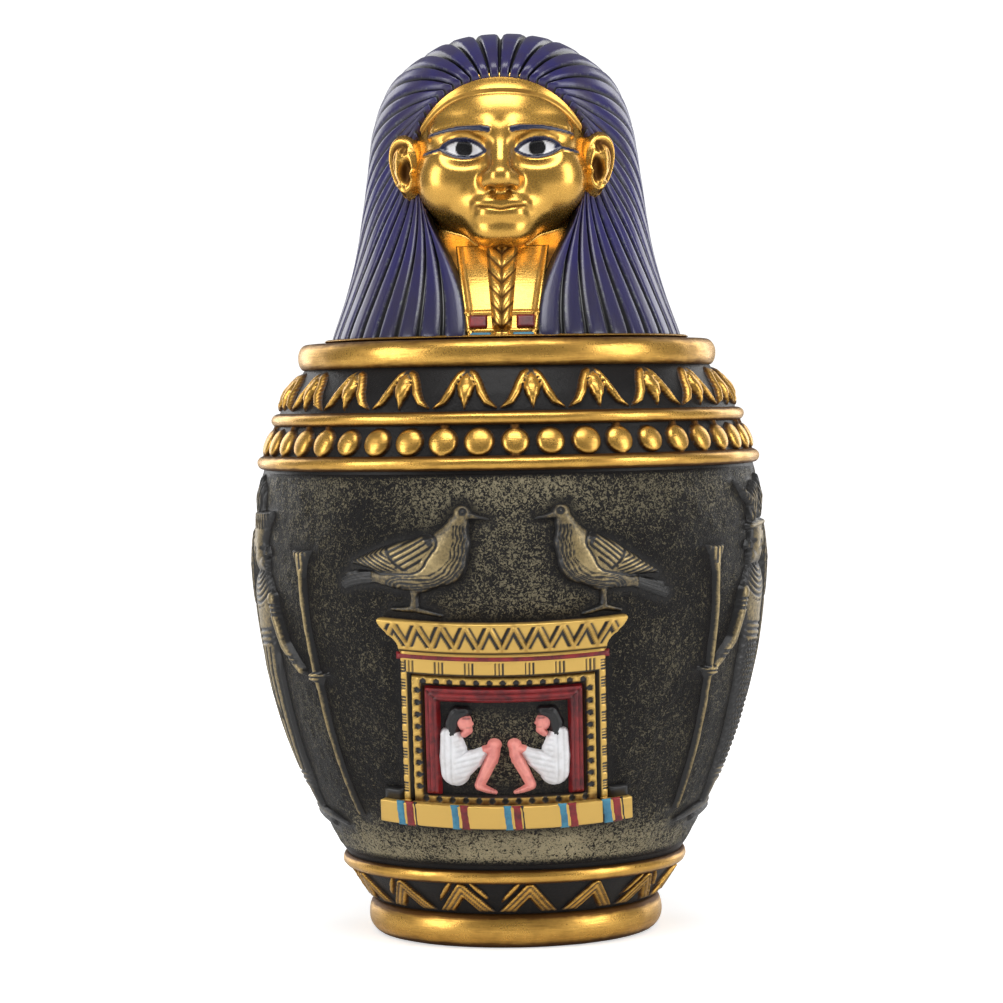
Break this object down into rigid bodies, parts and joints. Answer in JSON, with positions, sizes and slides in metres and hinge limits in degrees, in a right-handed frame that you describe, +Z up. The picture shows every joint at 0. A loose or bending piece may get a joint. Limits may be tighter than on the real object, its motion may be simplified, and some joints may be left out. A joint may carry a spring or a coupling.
{
  "type": "canopic jar",
  "caption": "Cast and painted canopic jar with a human-headed lift-off lid, raised shrine, birds, attendants and banded mouldings.",
  "frame": {"origin": "centre of the flat underside of the jar's foot", "axes": "+Z up along the jar's axis, -Y towards the face and the shrine, +X to the right as seen from the front"},
  "size_m": [0.1008, 0.1028, 0.1787],
  "materials": {
    "charcoal_ground": "cast resin, pebbled charcoal paint with gold dry-brushed over its grain",
    "gold_paint": "cast resin, metallic gold paint with a dark wash in the hollows",
    "blue_wig": "cast resin, glossy ultramarine paint, black in the grooves",
    "red_paint": "dark red paint with worn edges",
    "blue_paint": "light blue paint",
    "skin_paint": "salmon paint",
    "white_paint": "white paint",
    "black_paint": "black paint"
  },
  "bodies": {
    "root": {"jar": "charcoal_ground", "head_lid": "blue_wig"}
  },
  "joints": []
}
